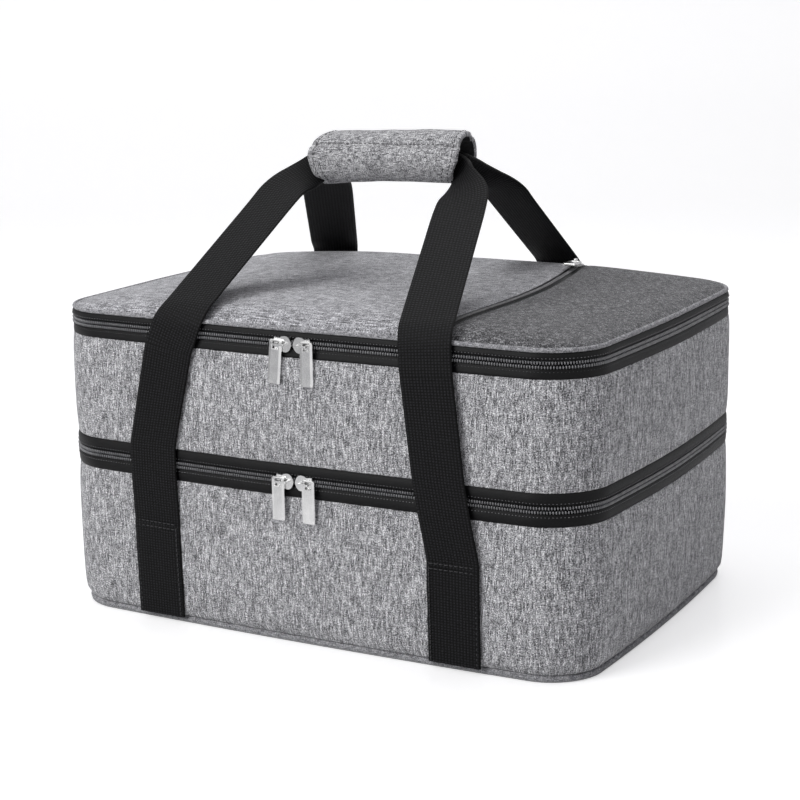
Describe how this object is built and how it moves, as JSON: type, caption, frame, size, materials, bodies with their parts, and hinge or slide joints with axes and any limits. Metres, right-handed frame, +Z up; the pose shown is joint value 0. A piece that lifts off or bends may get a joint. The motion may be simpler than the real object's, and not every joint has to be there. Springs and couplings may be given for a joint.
{
  "type": "insulated lunch bag",
  "caption": "Soft rectangular insulated bag with stacked zipped compartments, a zipped lid pocket and webbing handles held together by a padded wrap.",
  "frame": {"origin": "middle of the flat base, on the surface that the bag stands on", "axes": "+X along the long side to the right seen from the front, +Y from front to back, +Z up"},
  "size_m": [0.4218, 0.3171, 0.334],
  "materials": {
    "grey_melange_fabric": "woven grey melange, matt",
    "dark_melange_fabric": "woven dark grey melange, matt",
    "webbing": "woven black webbing",
    "zip_tape": "woven black tape",
    "zip_coil": "moulded zip teeth, dark grey",
    "nickel_hardware": "bright nickel plate",
    "foam": "closed-cell foam, hidden",
    "foil_liner": "silver insulating film on a thin backing",
    "stiffener_board": "thin stiffening board, hidden",
    "hook_and_loop": "black hook-and-loop strip"
  },
  "bodies": {
    "lower_case": {"base_panel": "grey_melange_fabric", "base_board": "stiffener_board", "base_piping": "grey_melange_fabric", "base_foam": "foam", "lower_wall": "grey_melange_fabric", "lower_foam": "foam", "lower_liner": "foil_liner", "lower_zip_tape": "zip_tape", "lower_zip_coil": "zip_coil", "lower_hinge_strip": "grey_melange_fabric", "front_left_sewn_strap": "webbing", "front_right_sewn_strap": "webbing", "back_left_sewn_strap": "webbing", "back_right_sewn_strap": "webbing"},
    "deck": {"deck_lower_coil": "zip_coil", "deck_lower_tape": "zip_tape", "deck_lower_hinge_strip": "grey_melange_fabric", "deck_underside": "foil_liner", "deck_floor_foam": "foam", "deck_wall": "grey_melange_fabric", "deck_foam": "foam", "deck_liner": "foil_liner", "deck_upper_tape": "zip_tape", "deck_upper_coil": "zip_coil", "deck_upper_hinge_strip": "grey_melange_fabric"},
    "lid": {"lid_coil": "zip_coil", "lid_tape": "zip_tape", "lid_hinge_strip": "grey_melange_fabric", "lid_piping": "grey_melange_fabric", "lid_foam": "foam", "lid_liner": "foil_liner", "lid_main_panel": "grey_melange_fabric", "lid_pocket_panel": "dark_melange_fabric", "pocket_left_tape": "zip_tape", "pocket_right_tape": "zip_tape", "pocket_coil": "zip_coil"},
    "lower_left_slider": {"lower_left_slider": "nickel_hardware"},
    "lower_left_pull": {"lower_left_pull": "nickel_hardware"},
    "lower_right_slider": {"lower_right_slider": "nickel_hardware"},
    "lower_right_pull": {"lower_right_pull": "nickel_hardware"},
    "upper_left_slider": {"upper_left_slider": "nickel_hardware"},
    "upper_left_pull": {"upper_left_pull": "nickel_hardware"},
    "upper_right_slider": {"upper_right_slider": "nickel_hardware"},
    "upper_right_pull": {"upper_right_pull": "nickel_hardware"},
    "pocket_slider": {"pocket_slider": "nickel_hardware"},
    "pocket_pull": {"pocket_pull": "nickel_hardware"},
    "front_straps": {"front_left_strap": "webbing", "front_right_strap": "webbing"},
    "back_straps": {"back_left_strap": "webbing", "back_right_strap": "webbing"},
    "front_handle": {"front_handle_webbing": "webbing", "wrap_cover": "grey_melange_fabric", "wrap_pad": "foam", "wrap_loop_strip": "hook_and_loop"},
    "back_handle": {"back_handle_webbing": "webbing"},
    "wrap_flap": {"wrap_flap_cover": "grey_melange_fabric", "wrap_flap_pad": "foam"}
  },
  "joints": [
    {"name": "deck_hinge", "type": "hinge", "parent": "lower_case", "child": "deck", "pos_m": [0, 0.1535, 0.115], "axis": [-1, 0, 0], "range_deg": [0, 62]},
    {"name": "lid_hinge", "type": "hinge", "parent": "deck", "child": "lid", "pos_m": [0, 0.15178, 0.2073], "axis": [-1, 0, 0], "range_deg": [0, 95]},
    {"name": "front_fold", "type": "hinge", "parent": "lower_case", "child": "front_straps", "pos_m": [0, -0.15218, 0.075], "axis": [1, 0, 0], "range_deg": [0, 51], "deforming": ["front_left_strap", "front_right_strap"]},
    {"name": "front_drop", "type": "hinge", "parent": "front_straps", "child": "front_handle", "pos_m": [0, -0.15341, 0.2073], "axis": [1, 0, 0], "range_deg": [0, 133], "deforming": ["front_handle_webbing"]},
    {"name": "back_fold", "type": "hinge", "parent": "lower_case", "child": "back_straps", "pos_m": [0, 0.1535, 0.115], "axis": [-1, 0, 0], "range_deg": [0, 62], "deforming": ["back_left_strap", "back_right_strap"]},
    {"name": "back_drop", "type": "hinge", "parent": "back_straps", "child": "back_handle", "pos_m": [0, 0.15418, 0.2073], "axis": [-1, 0, 0], "range_deg": [0, 76], "deforming": ["back_handle_webbing"]},
    {"name": "wrap_peel", "type": "hinge", "parent": "front_handle", "child": "wrap_flap", "pos_m": [0, 0.00899, 0.33158], "axis": [1, 0, 0], "range_deg": [0, 110]},
    {"name": "lower_left_zip_run", "type": "hinge", "parent": "lower_case", "child": "lower_left_slider", "pos_m": [0, 2.5399, 0.115], "axis": [0, 0, -1], "range_deg": [0, 3.02]},
    {"name": "lower_left_pull_swing", "type": "hinge", "parent": "lower_left_slider", "child": "lower_left_pull", "pos_m": [-0.0116, -0.1575, 0.115], "axis": [0, 1, 0], "range_deg": [-10, 90]},
    {"name": "lower_right_zip_run", "type": "hinge", "parent": "lower_case", "child": "lower_right_slider", "pos_m": [0, 2.5399, 0.115], "axis": [0, 0, 1], "range_deg": [0, 3.02]},
    {"name": "lower_right_pull_swing", "type": "hinge", "parent": "lower_right_slider", "child": "lower_right_pull", "pos_m": [0.0116, -0.1575, 0.115], "axis": [0, -1, 0], "range_deg": [-10, 90]},
    {"name": "upper_left_zip_run", "type": "hinge", "parent": "deck", "child": "upper_left_slider", "pos_m": [0, 3.34429, 0.2073], "axis": [0, 0, -1], "range_deg": [0, 2.33]},
    {"name": "upper_left_pull_swing", "type": "hinge", "parent": "upper_left_slider", "child": "upper_left_pull", "pos_m": [-0.0116, -0.15578, 0.2073], "axis": [0, 1, 0], "range_deg": [-10, 90]},
    {"name": "upper_right_zip_run", "type": "hinge", "parent": "deck", "child": "upper_right_slider", "pos_m": [0, 3.34429, 0.2073], "axis": [0, 0, 1], "range_deg": [0, 2.33]},
    {"name": "upper_right_pull_swing", "type": "hinge", "parent": "upper_right_slider", "child": "upper_right_pull", "pos_m": [0.0116, -0.15578, 0.2073], "axis": [0, -1, 0], "range_deg": [-10, 90]},
    {"name": "pocket_zip_run", "type": "hinge", "parent": "lid", "child": "pocket_slider", "pos_m": [-0.4642, -0.04038, -0.07344], "axis": [0.466, 0.0362, -0.8841], "range_deg": [0, 17.82]},
    {"name": "pocket_pull_swing", "type": "hinge", "parent": "pocket_slider", "child": "pocket_pull", "pos_m": [0.08688, 0.1075, 0.22525], "axis": [-0.0093, -0.0835, -0.9965], "range_deg": [-60, 60]}
  ],
  "couplings": [
    {"joint": "front_fold", "follows": "deck_hinge", "ratio": 0.82},
    {"joint": "front_drop", "follows": "lid_hinge", "ratio": 1.4},
    {"joint": "back_fold", "follows": "deck_hinge", "ratio": 1},
    {"joint": "back_drop", "follows": "lid_hinge", "ratio": 0.8}
  ]
}
